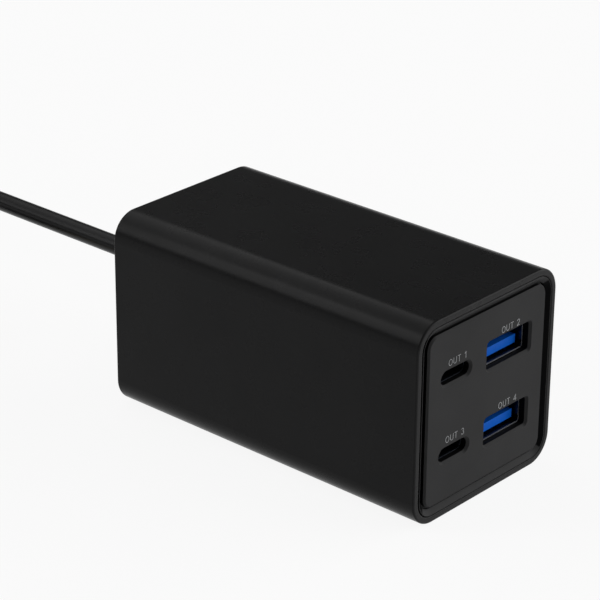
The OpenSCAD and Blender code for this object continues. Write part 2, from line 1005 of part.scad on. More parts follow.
// A sheet bent over the top and both sides of the components
module bent_sheet(inset, t) {
    y0 = cover_y0;
    translate([0, y0, body_h / 2])
        mirror([0, 1, 0])
            rotate([90, 0, 0])
                difference() {
                    linear_extrude(cover_y1 - y0)
                        difference() {
                            outline(inset);
                            outline(inset + t);
                        }
                    translate([-body_w / 2, -body_h, -bite])
                        cube([body_w, body_h / 2 + cover_z, body_l]);
                }
}

module heat_spreader() {
    color(aluminium)
        bent_sheet(wall + 3 * fit, spread_t);
}

module insulating_film() {
    color([0.8, 0.72, 0.5])
        bent_sheet(wall + 3 * fit + spread_t, film_t);
}

// Two insulated wires from the lead's end down to the main board
module inner_leads() {
    low = board_z - leg_out / 2;
    top = cord_z - wire_bend;
    color([0.35, 0.2, 0.12])
        for (side = [-1, 1])
            translate([side * core_wire_x, wire_y, 0]) {
                translate([0, 0, low])
                    cylinder(h = top - low, r = core_wire_r);
                translate([0, wire_bend, top])
                    rotate([90, 0, -90])
                        rotate_extrude(angle = 90)
                            translate([wire_bend, 0])
                                circle(core_wire_r);
                translate([0, wire_bend, cord_z])
                    rotate([-90, 0, 0])
                        cylinder(h = lead_route[0][1] - wire_y - wire_bend, r = core_wire_r);
            }
}

// Lead

// Half section of the strain relief: first the radius, then the distance along +Y
module relief_profile() {
    out_y = rear_in;
    in_y = rear_in - cover_t;
    pitch = (relief_l - relief_plain) / relief_rings;
    difference() {
        polygon([[cord_hole, in_y - relief_flange_t],
                 [relief_flange_r, in_y - relief_flange_t], [relief_flange_r, in_y],
                 [relief_neck_r, in_y], [relief_neck_r, out_y],
                 [relief_flange_r - relief_edge, out_y],
                 [relief_flange_r - 2 * relief_edge, out_y + relief_flange_t],
                 [relief_base_r, out_y + relief_flange_t],
                 [relief_tip_r, out_y + relief_l - relief_edge],
                 [relief_tip_r - relief_edge, out_y + relief_l],
                 [cord_hole, out_y + relief_l]]);
        for (k = [0:relief_rings - 1]) {
            at = relief_first + k * pitch;
            surface = relief_base_r + (relief_tip_r - relief_base_r) * at / relief_l;
            translate([surface - relief_groove_d, out_y + at])
                square([relief_base_r, relief_groove]);
        }
    }
}

module strain_relief() {
    color(soft_black)
        translate([0, 0, cord_z])
            rotate([-90, 0, 0])
                rotate_extrude()
                    relief_profile();
}

// Tube along a route that is nowhere upright
function along(path, i) =
    let (a = path[max(i - 1, 0)], b = path[min(i + 1, len(path) - 1)], d = b - a)
    d / norm(d);
function ring(path, i, r) =
    let (t = along(path, i), s = cross(t, [0, 0, 1]), side = s / norm(s), up = cross(side, t))
    [for (k = [0:tube_sides - 1])
        let (a = 360 * (k + 0.5) / tube_sides)
        path[i] + r * (cos(a) * side + sin(a) * up)];
module swept(path, r) {
    n = len(path);
    m = tube_sides;
    points = [for (i = [0:n - 1], p = ring(path, i, r)) p];
    walls = [for (i = [0:n - 2], k = [0:m - 1])
        [i * m + k, i * m + (k + 1) % m, (i + 1) * m + (k + 1) % m, (i + 1) * m + k]];
    ends = [[for (k = [m - 1:-1:0]) k], [for (k = [0:m - 1]) (n - 1) * m + k]];
    polyhedron(points = points, faces = concat(walls, ends), convexity = 4);
}

module cord_tube() {
    color(soft_black)
        swept(lead_route, cord_r);
}

module cord_tail() {
    color(soft_black)
        swept(tail_route, cord_r);
}

// Tie's section outline, as distance from the coil's axis and height
module tie_outline(grow) {
    low = tie_t - grow;
    inner = coil_in - tie_sag - grow;
    outer = coil_out + tie_slack + grow;
    top = coil_h + cord_d + tie_slack + grow;
    polygon([[inner, low], [outer, low], [outer, coil_h - coil_edge + grow],
             [outer - coil_edge, coil_h + tie_slack + grow],
             [coil_in + cord_d + tie_slack, top], [inner, top]]);
}

module tie_place(w) {
    translate([coil_x - w / 2, coil_y, 0])
        rotate([90, 0, 90])
            linear_extrude(w)
                children();
}

module cord_coil() {
    top = coil_h + cord_d;
    color(soft_black)
        difference() {
            translate([coil_x, coil_y, 0]) {
                rotate_extrude()
                    polygon([[coil_in, coil_edge], [coil_in + coil_edge, 0],
                             [coil_out - coil_edge, 0], [coil_out, coil_edge],
                             [coil_out, coil_h - coil_edge], [coil_out - coil_edge, coil_h],
                             [coil_in + coil_edge, coil_h], [coil_in, coil_h - coil_edge]]);
                rotate([0, 0, coil_top_start])
                    rotate_extrude(angle = coil_top_end - coil_top_start)
                        polygon([[coil_in + coil_edge, coil_h - coil_edge],
                                 [coil_in + cord_d, coil_h - coil_edge],
                                 [coil_in + cord_d, top - coil_edge],
                                 [coil_in + cord_d - coil_edge, top],
                                 [coil_in + coil_edge, top], [coil_in, top - coil_edge],
                                 [coil_in, coil_h + coil_edge]]);
            }
            tie_place(tie_w + 2 * fit)
                translate([0, -bite])
                    square([2 * coil_out, bite + tie_t + slide]);
        }
}

module cord_tie() {
    color(black)
        tie_place(tie_w)
            difference() {
                tie_outline(tie_t);
                tie_outline(0);
            }
}

// Plug

module plug_body() {
    color(soft_black)
        difference() {
            union() {
                intersection() {
                    translate([plug_x, plug_y, 0])
                        linear_extrude(2 * plug_z)
                            for (side = [0, 1])
                                mirror([side, 0])
                                    polygon([[-bite, 0], [plug_w / 2, 0],
                                             [plug_w / 2, plug_shoulder],
                                             [plug_tail_w / 2, plug_l - plug_end_edge],
                                             [plug_tail_w / 2 - plug_end_edge, plug_l],
                                             [-bite, plug_l]]);
                    translate([plug_x, plug_y + plug_l, plug_z])
                        rotate([90, 0, 0])
                            linear_extrude(plug_l)
                                round_rect(plug_w, 2 * plug_z, plug_corner);
                }
                translate([plug_x, plug_y + plug_l - bite, plug_z])
                    rotate([-90, 0, 0])
                        cylinder(h = plug_relief_l + bite, r1 = plug_relief_r, r2 = plug_relief_tip);
            }
            translate([plug_x, plug_y + plug_l + plug_relief_l + bite, plug_z])
                rotate([90, 0, 0])
                    cylinder(h = plug_y + plug_l + plug_relief_l + bite
                                 - tail_route[len(tail_route) - 1][1] + fit, r = cord_hole);
            plug_blade_bars(slide);
        }
}

module plug_blade_bars(grow) {
    for (side = [-1, 1])
        translate([plug_x + side * blade_pitch / 2 - blade_t / 2 - grow, plug_y - blade_l,
                   plug_z - blade_w / 2 - grow])
            cube([blade_t + 2 * grow, blade_l + blade_in + grow, blade_w + 2 * grow]);
}

module plug_blades() {
    color([0.8, 0.7, 0.45])
        difference() {
            plug_blade_bars(0);
            translate([plug_x - plug_w / 2, plug_y - blade_l + blade_hole_in, plug_z])
                rotate([0, 90, 0])
                    cylinder(h = plug_w, r = blade_hole_r);
        }
}

housing_sleeve();
front_bezel();
socket_panel();
rear_cover();
wide_shell(upper);  // wide_shell_upper
wide_shell(lower);  // wide_shell_lower
wide_tongue(upper);  // wide_tongue_upper
wide_tongue(lower);  // wide_tongue_lower
wide_contacts(upper);  // wide_contacts_upper
wide_contacts(lower);  // wide_contacts_lower
slim_shell(upper);  // slim_shell_upper
slim_shell(lower);  // slim_shell_lower
slim_tongue(upper);  // slim_tongue_upper
slim_tongue(lower);  // slim_tongue_lower
slim_contacts(upper);  // slim_contacts_upper
slim_contacts(lower);  // slim_contacts_lower
socket_board();
board_screws();
main_board();
board_link();
link_pins();
transformer_core();
transformer_bobbin();
transformer_winding();
bulk_capacitors();
output_capacitors();
film_capacitor();
choke_core();
choke_windings();
fuse();
bridge_rectifier();
power_transistor();
component_legs();
heat_spreader();
insulating_film();
inner_leads();
strain_relief();
cord_tube();
cord_coil();
cord_tail();
cord_tie();
plug_body();
plug_blades();
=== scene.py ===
"""Looks of a desktop charger with four sockets and a mains lead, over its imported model.

Lengths in the dataclass fields are in millimetres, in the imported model's frame: Z is up, the
sockets face -Y and the origin is on the floor under the middle of the housing.
"""

from __future__ import annotations

import logging
import math
from dataclasses import dataclass, field
from enum import Enum

import bpy
from mathutils import Matrix, Vector
from mathutils.geometry import convex_hull_2d

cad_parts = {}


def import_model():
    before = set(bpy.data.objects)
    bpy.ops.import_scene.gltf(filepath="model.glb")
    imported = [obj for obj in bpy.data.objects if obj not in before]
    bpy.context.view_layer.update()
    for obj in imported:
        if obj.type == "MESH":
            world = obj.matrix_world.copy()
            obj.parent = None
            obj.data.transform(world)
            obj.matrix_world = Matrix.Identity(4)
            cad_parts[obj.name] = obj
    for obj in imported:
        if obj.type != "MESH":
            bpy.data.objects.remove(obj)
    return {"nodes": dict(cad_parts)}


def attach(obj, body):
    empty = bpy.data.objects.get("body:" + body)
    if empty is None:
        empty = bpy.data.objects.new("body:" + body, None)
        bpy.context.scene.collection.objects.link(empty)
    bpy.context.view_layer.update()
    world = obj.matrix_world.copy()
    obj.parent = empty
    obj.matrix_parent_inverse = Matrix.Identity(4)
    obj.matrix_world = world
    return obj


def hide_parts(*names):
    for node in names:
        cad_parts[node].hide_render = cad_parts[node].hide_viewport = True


LOG = logging.getLogger("charger")
MM = 0.001

Triple = tuple[float, float, float]
Pair = tuple[float, float]


# Shapes


def metres(point: Triple | Vector) -> Vector:
    """Returns a point given in millimetres as a vector in metres."""
    return Vector(point) * MM


def ease(share: float) -> float:
    """Returns a smooth rise from 0 to 1 as the share goes from 0 to 1, held flat outside."""
    held = min(max(share, 0.0), 1.0)
    return held * held * (3 - 2 * held)


def arc(centre: Pair, radii: Pair, start: float, end: float, steps: int) -> list[Pair]:
    """Points along a stretch of an ellipse.

    Args:
        centre: Middle of the ellipse.
        radii: Half its width and half its height.
        start: First angle, in degrees.
        end: Last angle, in degrees.
        steps: Number of chords.

    Returns:
        The steps + 1 points, both ends among them.
    """
    angles = [math.radians(start + (end - start) * k / steps) for k in range(steps + 1)]
    return [(centre[0] + radii[0] * math.cos(a), centre[1] + radii[1] * math.sin(a))
            for a in angles]


def rounded_section(width: float, height: float, radius: float, steps: int = 6) -> list[Pair]:
    """Outline of a rectangle with round corners, centred on the origin, counter-clockwise.

    Args:
        width: Full width.
        height: Full height.
        radius: Radius of the corners.
        steps: Chords in each corner.

    Returns:
        The outline's points, the same number for every size.
    """
    x, y = width / 2 - radius, height / 2 - radius
    points: list[Pair] = []
    for k, (cx, cy) in enumerate(((x, y), (-x, y), (-x, -y), (x, -y))):
        points += arc((cx, cy), (radius, radius), 90 * k, 90 * k + 90, steps)
    return points


def through(points: list[Triple], steps: int) -> list[Vector]:
    """Smooth line through a few chosen points.

    Args:
        points: The points that the line passes through.
        steps: Stretches between one point and the next.

    Returns:
        The points of the line, with both ends.
    """
    ends = [Vector(points[0]) * 2 - Vector(points[1]), *map(Vector, points),
            Vector(points[-1]) * 2 - Vector(points[-2])]
    line: list[Vector] = []
    for a, b, c, d in zip(ends, ends[1:], ends[2:], ends[3:]):
        for k in range(steps):
            t = k / steps
            line.append(0.5 * (2 * b + (c - a) * t + (2 * a - 5 * b + 4 * c - d) * t * t
                               + (3 * b - a - 3 * c + d) * t ** 3))
    return line + [Vector(points[-1])]


@dataclass
class Shell:
    """Vertices and faces of a mesh that is being made, in metres."""

    vertices: list[Vector] = field(default_factory=list)
    faces: list[tuple[int, ...]] = field(default_factory=list)

    def loft(self, rings: list[list[Vector]], closed: bool = False) -> None:
        """Joins rings of points with quads.

        Args:
            rings: The rings, each with the same number of points, in metres.
            closed: Whether the last ring joins the first one. The ends are capped if not.
        """
        start, n = len(self.vertices), len(rings[0])
        for ring in rings:
            self.vertices += ring
        for i in range(len(rings) if closed else len(rings) - 1):
            a, b = start + i * n, start + (i + 1) % len(rings) * n
            for k in range(n):
                after = (k + 1) % n
                self.faces.append((a + k, a + after, b + after, b + k))
        if not closed:
            last = start + (len(rings) - 1) * n
            self.faces.append(tuple(range(start + n - 1, start - 1, -1)))
            self.faces.append(tuple(range(last, last + n)))

    def piece(self, name: str, crease: float = 40) -> bpy.types.Object:
        """Makes the object.

        Args:
            name: The piece's plain name.
            crease: Angle in degrees above which an edge is shaded as a sharp one.

        Returns:
            The new object, linked to the scene.
        """
        mesh = bpy.data.meshes.new(name)
        mesh.from_pydata([tuple(v) for v in self.vertices], [], self.faces)
        mesh.validate()
        mesh.shade_smooth()
        mesh.set_sharp_from_angle(angle=math.radians(crease))
        made = bpy.data.objects.new(name, mesh)
        bpy.context.scene.collection.objects.link(made)
        return made


def dress(piece: bpy.types.Object, material: bpy.types.Material) -> None:
    """Gives every material slot of a piece the same material.

    Args:
        piece: The piece, which gets a slot if it has none.
        material: The material.
    """
    if not piece.material_slots:
        piece.data.materials.append(material)
    for place in piece.material_slots:
        place.material = material


def hang(piece: bpy.types.Object, material: bpy.types.Material) -> None:
    """Dresses a new piece and lets it ride on the object.

    Args:
        piece: The new piece.
        material: Its material.
    """
    dress(piece, material)
    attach(piece, "root")


# Finishes


class Bench:
    """A material's node tree while it is put together."""

    def __init__(self, name: str, color: Triple, roughness: float, **constants: float) -> None:
        """Starts a material with one shader.

        Args:
            name: The material's name.
            color: Base colour, linear.
            roughness: Roughness of the shader.
            constants: Other shader sockets by name, with underscores for spaces.
        """
        self.material = bpy.data.materials.new(name)
        self.material.use_nodes = True
        self.tree = self.material.node_tree
        self.shader = self.tree.nodes["Principled BSDF"]
        self.shader.inputs["Base Color"].default_value = (*color, 1)
        self.shader.inputs["Roughness"].default_value = roughness
        for socket, value in constants.items():
            self.shader.inputs[socket.replace("_", " ")].default_value = value
        own = self.tree.nodes.new("ShaderNodeTexCoord")
        self.place, self.normal = own.outputs["Object"], own.outputs["Normal"]

    def join(self, source: bpy.types.NodeSocket, target: bpy.types.NodeSocket) -> None:
        """Links one socket to another."""
        self.tree.links.new(source, target)

    def stretched(self, scale: Triple) -> bpy.types.NodeSocket:
        """Stretches the object's own coordinates.

        Args:
            scale: Factor on each axis.

        Returns:
            The stretched coordinates.
        """
        mapping = self.tree.nodes.new("ShaderNodeMapping")
        mapping.inputs["Scale"].default_value = scale
        self.join(self.place, mapping.inputs["Vector"])
        return mapping.outputs["Vector"]

    def cloud(self, size: float, detail: float = 3, scale: Triple = (1, 1, 1),
              ) -> bpy.types.NodeSocket:
        """Adds a noise.

        Args:
            size: Size of its largest features, in millimetres.
            detail: Number of finer layers.
            scale: Stretch along each axis.

        Returns:
            Its value, around 0.5.
        """
        noise = self.tree.nodes.new("ShaderNodeTexNoise")
        noise.inputs["Scale"].default_value = 1 / (size * MM)
        noise.inputs["Detail"].default_value = detail
        self.join(self.stretched(scale), noise.inputs["Vector"])
        return noise.outputs["Fac"]

    def bands(self, pitch: float, axis: str, turns: float = 0) -> bpy.types.NodeSocket:
        """Adds even bands.

        Args:
            pitch: Distance from band to band, in millimetres.
            axis: X, Y or Z, the axis that they follow one another along.
            turns: How much they waver.

        Returns:
            Their value, from 0 to 1.
        """
        wave = self.tree.nodes.new("ShaderNodeTexWave")
        wave.bands_direction = axis
        wave.inputs["Scale"].default_value = math.pi / 10 / (pitch * MM)
        wave.inputs["Distortion"].default_value = turns
        self.join(self.place, wave.inputs["Vector"])
        return wave.outputs["Fac"]

    def spread(self, value: bpy.types.NodeSocket, low: float, high: float,
               ends: Pair = (0.3, 0.7)) -> bpy.types.NodeSocket:
        """Maps a value from one range of numbers to another, and holds it there.

        Args:
            value: The value.
            low: Result at the first end of its range.
            high: Result at the other end.
            ends: The two ends of its range.

        Returns:
            The mapped value.
        """
        ranged = self.tree.nodes.new("ShaderNodeMapRange")
        ranged.inputs["From Min"].default_value, ranged.inputs["From Max"].default_value = ends
        ranged.inputs["To Min"].default_value = low
        ranged.inputs["To Max"].default_value = high
        self.join(value, ranged.inputs["Value"])
        return ranged.outputs["Result"]

    def maths(self, operation: str, one: bpy.types.NodeSocket,
              other: bpy.types.NodeSocket | float = 0.0) -> bpy.types.NodeSocket:
        """Does one sum with two values.

        Args:
            operation: The operation's name, such as MULTIPLY.
            one: First value.
            other: Second value, or a plain number.

        Returns:
            The result.
        """
        node = self.tree.nodes.new("ShaderNodeMath")
        node.operation = operation
        self.join(one, node.inputs[0])
        if isinstance(other, float):
            node.inputs[1].default_value = other
        else:
            self.join(other, node.inputs[1])
        return node.outputs["Value"]

    def axis(self, source: bpy.types.NodeSocket, axis: str) -> bpy.types.NodeSocket:
        """Takes one of a vector's three values.

        Args:
            source: The vector.
            axis: X, Y or Z.

        Returns:
            The value along that axis.
        """
        split = self.tree.nodes.new("ShaderNodeSeparateXYZ")
        self.join(source, split.inputs["Vector"])
        return split.outputs[axis]

    def along(self, axis: str) -> bpy.types.NodeSocket:
        """Returns the place along one of the object's own axes, in metres."""
        return self.axis(self.place, axis)

    def facing(self, axis: str) -> bpy.types.NodeSocket:
        """Returns how much the surface faces either way along one of the object's axes."""
        return self.maths("ABSOLUTE", self.axis(self.normal, axis))

    def tint(self, value: bpy.types.NodeSocket, low: Triple, high: Triple) -> None:
        """Colours the shader by a value.

        Args:
            value: The value, from 0 to 1.
            low: Colour at 0.
            high: Colour at 1.
        """
        mix = self.tree.nodes.new("ShaderNodeMix")
        mix.data_type = "RGBA"
        mix.inputs["A"].default_value = (*low, 1)
        mix.inputs["B"].default_value = (*high, 1)
        self.join(value, mix.inputs["Factor"])
        self.join(mix.outputs["Result"], self.shader.inputs["Base Color"])

    def cover(self, mask: bpy.types.NodeSocket, color: Triple) -> None:
        """Lays another colour over the one that the shader has.

        Args:
            mask: Share of the other colour, from 0 to 1.
            color: The other colour.
        """
        mix = self.tree.nodes.new("ShaderNodeMix")
        mix.data_type = "RGBA"
        mix.inputs["B"].default_value = (*color, 1)
        self.join(self.shader.inputs["Base Color"].links[0].from_socket, mix.inputs["A"])
        self.join(mask, mix.inputs["Factor"])
        self.join(mix.outputs["Result"], self.shader.inputs["Base Color"])

    def gloss(self, value: bpy.types.NodeSocket) -> None:
        """Lets a value set the shader's roughness."""
        self.join(value, self.shader.inputs["Roughness"])

    def relief(self, *layers: tuple[bpy.types.NodeSocket, float]) -> None:
        """Raises the surface by bump.

        Args:
            layers: Pairs of a value and the height in millimetres that it stands for.
        """
        below = None
        for value, height in layers:
            bump = self.tree.nodes.new("ShaderNodeBump")
            bump.inputs["Distance"].default_value = height * MM
            self.join(value, bump.inputs["Height"])
            if below is not None:
                self.join(below, bump.inputs["Normal"])
            below = bump.outputs["Normal"]
        self.join(below, self.shader.inputs["Normal"])


class PaintedPlace(Enum):
    """Places on a moulded piece that get a painted light or shade tone of their own."""

    FRONT = "what faces the front"
    SIDES = "all but what faces the front"
    UPRIGHTS = "slopes that lean left or right"


@dataclass(frozen=True)
class PaintedTone:
    """A painted light or shade tone on a moulded piece, and where it lies."""

    where: PaintedPlace
    color: Triple
    specular: float


@dataclass(frozen=True)
class Moulding:
    """A moulded plastic or rubber: its colour, gloss, eroded grain, slow unevenness and any
    painted light or shade tone.
    """

    name: str
    color: Triple
    roughness: float
    specular: float = 0.5
    grain: float = 0.18
    depth: float = 0.004
    mottle: float = 0.1
    waviness: float = 0.0
    painted_tone: PaintedTone | None = None

    def mask(self, bench: Bench, where: PaintedPlace) -> bpy.types.NodeSocket:
        """Finds where the painted light or shade tone lies.

        Args:
            bench: The material that is being made.
            where: The painted tone's place.

        Returns:
            A value that is 1 there and 0 elsewhere.
        """
        if where is PaintedPlace.FRONT:
            return bench.spread(bench.facing("Y"), 0, 1, (0.3, 0.9))
        if where is PaintedPlace.SIDES:
            level = bench.maths("MULTIPLY", bench.facing("Z"), 0.35)
            return bench.spread(bench.maths("ADD", bench.facing("Y"), level), 1, 0, (0.3, 0.74))
        sideways, level = bench.facing("X"), bench.facing("Z")
        steep = bench.spread(bench.maths("SUBTRACT", sideways, level), 0, 1, (0, 0.05))
        return bench.maths("MULTIPLY", bench.spread(sideways, 0, 1, (0.2, 0.3)), steep)

    def material(self) -> bpy.types.Material:
        """Makes the finish.

        Returns:
            The new material.
        """
        bench = Bench(self.name, self.color, self.roughness, Specular_IOR_Level=self.specular)
        slow = bench.cloud(14, 2)
        low, high = (tuple(c * (1 + s * self.mottle) for c in self.color) for s in (-1, 1))
        bench.tint(bench.spread(slow, 0, 1), low, high)
        bench.gloss(bench.spread(bench.cloud(5, 4), self.roughness * 0.94,
                                 self.roughness * 1.06))
        bench.relief((bench.cloud(self.grain, 2), self.depth), (slow, self.waviness))
        # Painted light or shade: the faces that the mask picks get the painted tone's colour
        # and specular level.
        if self.painted_tone:
            mask = self.mask(bench, self.painted_tone.where)
            bench.cover(mask, self.painted_tone.color)
            bench.join(bench.spread(mask, self.specular, self.painted_tone.specular, (0, 1)),
                       bench.shader.inputs["Specular IOR Level"])
        return bench.material


@dataclass(frozen=True)
class RolledSheet:
    """Sheet metal with fine lines along one direction.

    With a front, the forward-facing lip there is kept bright as a painted highlight, and the
    rest is darkened as painted shade.
    """

    name: str
    color: Triple
    roughness: float
    lines: Triple = (1, 0.03, 1)
    depth: float = 0.002
    front: Pair | None = None
    # Colour factor that darkens the shell away from its lip: painted shade inside the socket.
    inside: float = 0.2

    def material(self) -> bpy.types.Material:
        """Makes the finish.

        Returns:
            The new material.
        """
        bench = Bench(self.name, self.color, self.roughness, Metallic=1.0)
        streaks = bench.cloud(0.08, 3, self.lines)
        bench.gloss(bench.spread(streaks, self.roughness * 0.8, self.roughness * 1.25))
        bench.tint(bench.spread(bench.cloud(2.5, 3), 0, 1),
                   tuple(c * 0.92 for c in self.color), self.color)
        if self.front:
            start, end = self.front
            lip = bench.maths("MULTIPLY",
                              bench.spread(bench.along("Y"), 1, 0, (start * MM, end * MM)),
                              bench.spread(bench.facing("Y"), 0, 1, (0.7, 0.9)))
            # Painted shade: all of the shell but the front lip is darkened by the inside
            # factor.
            bench.cover(bench.spread(lip, 1, 0, (0, 1)),
                        tuple(c * self.inside for c in self.color))
            # Painted highlight: the lip is made less metallic, so that it catches diffuse
            # light.
            bench.join(bench.spread(lip, 1, 0.55, (0, 1)), bench.shader.inputs["Metallic"])
        bench.relief((streaks, self.depth))
        return bench.material


@dataclass(frozen=True)
class WoundWire:
    """Turns of enamelled wire, lying side by side along one axis, with painted shade between
    the turns.
    """

    name: str
    color: Triple
    wire: float
    axis: str

    def material(self) -> bpy.types.Material:
        """Makes the finish.

        Returns:
            The new material.
        """
        bench = Bench(self.name, self.color, 0.28, Metallic=1.0)
        turns = bench.bands(self.wire, self.axis, 0.3)
        # Painted shade: the bands darken the wire between the turns to a quarter of its colour.
        bench.tint(bench.spread(turns, 0, 1, (0, 0.5)), tuple(c * 0.25 for c in self.color),
                   self.color)
        bench.relief((turns, self.wire * 0.4))
        return bench.material


@dataclass(frozen=True)
class MaskedBoard:
    """Circuit board under solder mask, with copper areas that show through it."""

    name: str
    bare: Triple
    copper: Triple

    def material(self) -> bpy.types.Material:
        """Makes the finish.

        Returns:
            The new material.
        """
        bench = Bench(self.name, self.bare, 0.35, Coat_Weight=0.4, Coat_Roughness=0.15)
        areas = bench.tree.nodes.new("ShaderNodeTexVoronoi")
        areas.distance = "CHEBYCHEV"
        areas.inputs["Scale"].default_value = 1 / (3.5 * MM)
        bench.join(bench.place, areas.inputs["Vector"])
        edge = bench.spread(areas.outputs["Distance"], 0, 1, (0.38, 0.42))
        bench.tint(edge, self.copper, self.bare)
        bench.relief((edge, 0.03))
        return bench.material


@dataclass(frozen=True)
class WovenBand:
    """Narrow woven band: ribs across it, crossed by the warp threads."""

    name: str
    color: Triple
    thread: float

    def material(self) -> bpy.types.Material:
        """Makes the finish.

        Returns:
            The new material.
        """
        bench = Bench(self.name, self.color, 0.85, Sheen_Weight=0.35, Sheen_Roughness=0.5,
                      Specular_IOR_Level=0.2)
        warp = bench.bands(self.thread, "X")
        weft = bench.maths("MULTIPLY", bench.bands(self.thread * 1.6, "Y"),
                           bench.bands(self.thread * 1.6, "Z"))
        cross = bench.maths("MULTIPLY", warp, bench.spread(weft, 0.5, 1, (0, 1)))
        bench.tint(cross, tuple(c * 0.5 for c in self.color),
                   tuple(c * 1.6 for c in self.color))
        bench.relief((cross, self.thread * 0.35))
        return bench.material


Finish = Moulding | RolledSheet | WoundWire | MaskedBoard | WovenBand

# Black used as painted shade on the bezel's and the panel's slopes and walls.
PAINTED_SHADE_BLACK = (0.003, 0.003, 0.0032)
# Y span of the socket shells' front lip, which keeps a painted highlight; behind it lies
# painted shade.
LIP = (-38.4, -38)
# Painted light: the sleeve's front-facing rim is given a lighter colour where the front lamps
# fall on it.
SLEEVE = Moulding("sleeve satin black", (0.0087, 0.0087, 0.0089), 0.28, 0.08, depth=0.003,
                  painted_tone=PaintedTone(PaintedPlace.FRONT, (0.02, 0.02, 0.0204), 0.08))
REAR_COVER = Moulding("rear cover black", (0.009, 0.009, 0.0093), 0.4, 0.1, 0.12, 0.003)
# Painted shade: the bezel's slopes that lean left or right are coloured black as they lie in
# shade.
BEZEL = Moulding("bezel charcoal", (0.038, 0.038, 0.0387), 0.42, 0.05, 0.12, 0.002,
                 painted_tone=PaintedTone(PaintedPlace.UPRIGHTS, PAINTED_SHADE_BLACK, 0.02))
# Painted shade: the panel's faces that don't face the front, such as its opening walls, are
# coloured black as they lie in shade.
PANEL = Moulding("panel charcoal", (0.029, 0.029, 0.0295), 0.5, 0.07, 0.14, 0.004,
                 painted_tone=PaintedTone(PaintedPlace.SIDES, PAINTED_SHADE_BLACK, 0.02))
PANEL_INK = Moulding("panel pale ink", (0.42, 0.43, 0.44), 0.6, 0.2, 0.1, 0.001)
BLUE = Moulding("tongue blue", (0.005, 0.115, 0.58), 0.32, 0.07, 0.2, 0.001)
DARK_TONGUE = Moulding("small tongue black", (0.008, 0.012, 0.02), 0.5, 0.3)
MOULDED_BLACK = Moulding("component black", (0.02, 0.02, 0.021), 0.55, 0.3)
JACKET = Moulding("lead jacket", (0.004, 0.004, 0.0042), 0.3, 0.14, 0.5, 0.003, 0.05, 0.03)
RELIEF = Moulding("strain relief rubber", (0.014, 0.014, 0.0145), 0.48, 0.35)
PLUG = Moulding("plug rubber", (0.014, 0.014, 0.0145), 0.44, 0.35)
FERRITE = Moulding("ferrite", (0.055, 0.055, 0.058), 0.7, 0.3, 0.25, 0.01)
CAP_SLEEVE = Moulding("capacitor sleeve", (0.02, 0.035, 0.11), 0.25, 0.5)
FILM_BOX = Moulding("film capacitor box", (0.62, 0.42, 0.03), 0.35, 0.5)
FUSE_BODY = Moulding("fuse body", (0.22, 0.1, 0.05), 0.4, 0.5)
INSULATION = Moulding("insulating film", (0.55, 0.46, 0.28), 0.5, 0.4)
WIRE_SKIN = Moulding("wire insulation", (0.12, 0.05, 0.02), 0.4, 0.5)
# Socket shells: painted shade inside, and a painted highlight on the front lip.
SHELL_STEEL = RolledSheet("socket shell steel", (0.26, 0.27, 0.3), 0.28,
                          front=LIP, inside=0.22)
DARK_STEEL = RolledSheet("small socket shell steel", (0.07, 0.08, 0.1), 0.3,
                         front=LIP, inside=0.9)
GOLD = RolledSheet("contact gold", (0.9, 0.68, 0.28), 0.22)
TINNED = RolledSheet("tinned steel", (0.7, 0.7, 0.7), 0.3)
ALUMINIUM = RolledSheet("aluminium", (0.8, 0.81, 0.82), 0.32)
BLADE = RolledSheet("plug blade", (0.8, 0.7, 0.46), 0.25, (1, 0.05, 1))
COPPER_WIRE = WoundWire("transformer wire", (0.72, 0.32, 0.13), 0.5, "Z")
CHOKE_WIRE = WoundWire("choke wire", (0.72, 0.32, 0.13), 0.9, "Y")
BOARD = MaskedBoard("circuit board", (0.01, 0.12, 0.05), (0.02, 0.2, 0.09))
BAND = WovenBand("tie band", (0.02, 0.02, 0.021), 0.45)


# Lead


@dataclass
class Coil:
    """The stored length of the lead, wound in layers on the floor."""

    centre: Pair = (-7.9, 193)
    radii: tuple[float, ...] = (27.3, 23.1, 18.9)
    layer: float = 4.2
    base: float = 2.1
    step: float = 60
    total: float = 3060
    chord: float = 5
    tie_lift: float = 0.8
    tie_angle: float = 90
    tie_slope: float = 22

    def stations(self) -> list[tuple[float, float, float]]:
        """Lists where each turn has begun, in order.

        The move to another radius or layer ends there, and takes the angle step before it.

        Returns:
            The angle, radius and layer of each.
        """
        wide, middle, small = self.radii
        return [(0, wide, 0), (360, middle, 0), (720, small, 0), (1020, small, 1),
                (1320, middle, 1), (1680, wide, 1), (1980, wide, 2), (2280, middle, 2),
                (2640, small, 2), (2940, small, 3)]

    def at(self, angle: float) -> Vector:
        """Finds the centreline's point after some winding.

        Args:
            angle: Degrees wound since the start.

        Returns:
            The point, in millimetres.
        """
        radius, layer = self.radii[0], 0.0
        for start, to_radius, to_layer in self.stations()[1:]:
            share = ease((angle - start + self.step) / self.step)
            radius += (to_radius - radius) * share
            layer += (to_layer - layer) * share
        from_tie = abs((angle - self.tie_angle + 180) % 360 - 180)
        lift = self.tie_lift * ease(1.5 - from_tie / self.tie_slope)
        turn = math.radians(angle)
        return Vector((self.centre[0] + radius * math.cos(turn),
                       self.centre[1] + radius * math.sin(turn),
                       self.base + self.layer * layer + lift))

    def points(self) -> list[Vector]:
        """Returns the centreline from its first to its last point, in millimetres."""
        count = round(self.total / self.chord)
        return [self.at(self.total * k / count) for k in range(1, count + 1)]


